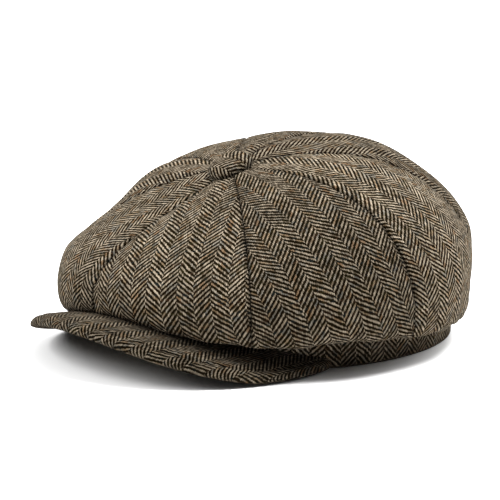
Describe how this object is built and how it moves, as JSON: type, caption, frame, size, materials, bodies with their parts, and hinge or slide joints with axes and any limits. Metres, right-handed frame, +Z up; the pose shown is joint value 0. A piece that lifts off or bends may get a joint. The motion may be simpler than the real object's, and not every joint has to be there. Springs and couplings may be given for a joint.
{
  "type": "newsboy cap",
  "caption": "Full-crowned newsboy cap in dark brown herringbone tweed, with seamed wedge panels, a covered top button, a lined inside and a short arched brim.",
  "frame": {"origin": "middle of the head opening, in the plane the cap rests on", "axes": "+Z up through the crown, -Y towards the brim, +X towards the wearer's left"},
  "size_m": [0.2439, 0.2636, 0.1136],
  "materials": {
    "tweed": "woven wool herringbone, matt",
    "lining": "satin weave, soft sheen",
    "sweatband": "ribbed cotton tape, matt",
    "buckram": "stiffened open weave",
    "label": "woven, blank",
    "button_shell": "plain",
    "button_back": "matt",
    "brim_board": "matt"
  },
  "bodies": {
    "cap": {"crown_panel_1": "tweed", "crown_panel_2": "tweed", "crown_panel_3": "tweed", "crown_panel_4": "tweed", "crown_panel_5": "tweed", "crown_panel_6": "tweed", "crown_panel_7": "tweed", "crown_panel_8": "tweed", "lining_panel_1": "lining", "lining_panel_2": "lining", "lining_panel_3": "lining", "lining_panel_4": "lining", "lining_panel_5": "lining", "lining_panel_6": "lining", "lining_panel_7": "lining", "lining_panel_8": "lining", "band_outer": "tweed", "band_interfacing": "buckram", "sweatband": "sweatband", "size_label": "label", "button_cover": "tweed", "button_shell": "button_shell", "button_back": "button_back"},
    "brim": {"brim_top_cover": "tweed", "brim_under_cover": "tweed", "brim_board": "brim_board"}
  },
  "joints": [
    {"name": "brim_flex", "type": "hinge", "parent": "cap", "child": "brim", "pos_m": [0, -0.072, 0.014], "axis": [1, 0, 0], "range_deg": [-1, 8], "stiffness_Nm_per_rad": 2}
  ]
}
